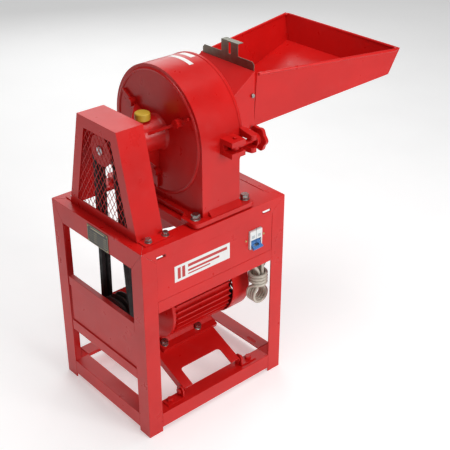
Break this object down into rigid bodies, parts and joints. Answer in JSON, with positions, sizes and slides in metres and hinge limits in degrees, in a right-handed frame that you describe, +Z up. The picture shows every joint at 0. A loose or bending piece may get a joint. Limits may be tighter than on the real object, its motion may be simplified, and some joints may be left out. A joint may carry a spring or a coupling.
{
  "type": "hammer mill",
  "caption": "Belt-driven hammer mill with a tray hopper, hinged front cover and tilting motor plate, on a welded angle-steel stand.",
  "frame": {"origin": "centre of the machine's footprint box at floor level, cord left out", "axes": "+X along the mill shaft from the belt side to the hopper, +Y from the switch side to the back, +Z up"},
  "size_m": [0.74, 0.3842, 0.796],
  "materials": {
    "enamel": "glossy brick-red enamel",
    "steel": "machined steel",
    "zinc": "bright zinc plating",
    "galvanised": "dull galvanised sheet",
    "rubber": "matt black rubber",
    "cast_iron": "dark painted cast iron",
    "yellow_plastic": "satin yellow plastic",
    "white_plastic": "satin white plastic",
    "blue_plastic": "satin blue plastic",
    "black_plastic": "satin black plastic",
    "grey_pvc": "pale grey flexible sheath"
  },
  "bodies": {
    "stand": {"top_rail_front": "enamel", "top_rail_back": "enamel", "top_rail_left": "enamel", "top_rail_right": "enamel", "leg_front_left": "enamel", "leg_front_right": "enamel", "leg_back_left": "enamel", "leg_back_right": "enamel", "bottom_rail_front": "enamel", "bottom_rail_back": "enamel", "bottom_rail_left": "enamel", "bottom_rail_right": "enamel", "apron_panel": "enamel", "apron_lower_rail": "enamel", "side_cover_panel": "enamel", "mill_cross_rail": "enamel", "deck_sheet": "enamel", "mill_housing": "enamel", "bearing_outer": "steel", "bearing_inner": "steel", "bearing_cap": "enamel", "sieve_ring": "steel", "cover_hinge_pin": "steel", "clamp_pin": "enamel", "eye_bolt": "enamel", "belt_guard": "enamel", "guard_mesh": "enamel", "hinge_bracket_left": "enamel", "hinge_bracket_right": "enamel", "hinge_pin_left": "enamel", "hinge_pin_right": "enamel", "tension_rod": "zinc", "belt_outer": "rubber", "belt_inner": "rubber", "switch_box": "black_plastic", "breaker_body": "white_plastic", "cord_gland": "black_plastic", "cord_hank": "grey_pvc", "power_cord": "grey_pvc", "mains_plug": "black_plastic", "discharge_spout": "enamel"},
    "mill_rotor": {"mill_shaft": "steel", "rotor": "steel", "mill_pulley": "cast_iron"},
    "cover": {"front_cover": "enamel", "feed_chute": "enamel", "hopper_tray": "enamel"},
    "gate": {"slide_gate": "galvanised"},
    "clamp_washer": {"clamp_washer": "enamel"},
    "clamp_nut": {"hand_nut": "enamel"},
    "toggle": {"breaker_toggle": "blue_plastic"},
    "motor_mount": {"motor_plate": "enamel", "motor_frame": "enamel", "motor_end_shield": "enamel", "fan_cowl": "enamel", "terminal_box": "enamel"},
    "motor_rotor": {"motor_rotor": "steel", "motor_pulley": "cast_iron", "cooling_fan": "black_plastic"},
    "cap": {"oil_cap": "yellow_plastic"}
  },
  "joints": [
    {"name": "motor_tilt", "type": "hinge", "parent": "stand", "child": "motor_mount", "pos_m": [-0.174, -0.14162, 0.066], "axis": [1, 0, 0], "range_deg": [-3, 1.5], "deforming": ["belt_outer", "belt_inner"]},
    {"name": "motor_spin", "type": "hinge", "parent": "motor_mount", "child": "motor_rotor", "pos_m": [-0.325, -0.01163, 0.22916], "axis": [1, 0, 0], "continuous": true},
    {"name": "mill_spin", "type": "hinge", "parent": "stand", "child": "mill_rotor", "pos_m": [-0.325, 0.00088, 0.64], "axis": [1, 0, 0], "continuous": true},
    {"name": "cover_swing", "type": "hinge", "parent": "stand", "child": "cover", "pos_m": [-0.087, 0.16688, 0.64], "axis": [0, 0, 1], "range_deg": [0, 105]},
    {"name": "gate_lift", "type": "slide", "parent": "cover", "child": "gate", "axis": [0, 0, 1], "range_m": [0, 0.118]},
    {"name": "washer_travel", "type": "slide", "parent": "cover", "child": "clamp_washer", "axis": [1, 0, 0], "range_m": [0, 0.006]},
    {"name": "nut_turn", "type": "hinge", "parent": "clamp_washer", "child": "clamp_nut", "pos_m": [-0.061, -0.16462, 0.64], "axis": [1, 0, 0], "range_deg": [0, 1230]},
    {"name": "toggle_flip", "type": "hinge", "parent": "stand", "child": "toggle", "pos_m": [-0.059, -0.16042, 0.3875], "axis": [-1, 0, 0], "range_deg": [0, 70]},
    {"name": "cap_pull", "type": "slide", "parent": "stand", "child": "cap", "axis": [0, 0, 1], "range_m": [0, 0.03]}
  ],
  "couplings": [
    {"joint": "mill_spin", "follows": "motor_spin", "ratio": 1.5714},
    {"joint": "washer_travel", "follows": "nut_turn", "m_per_rad": 0.00027852}
  ]
}
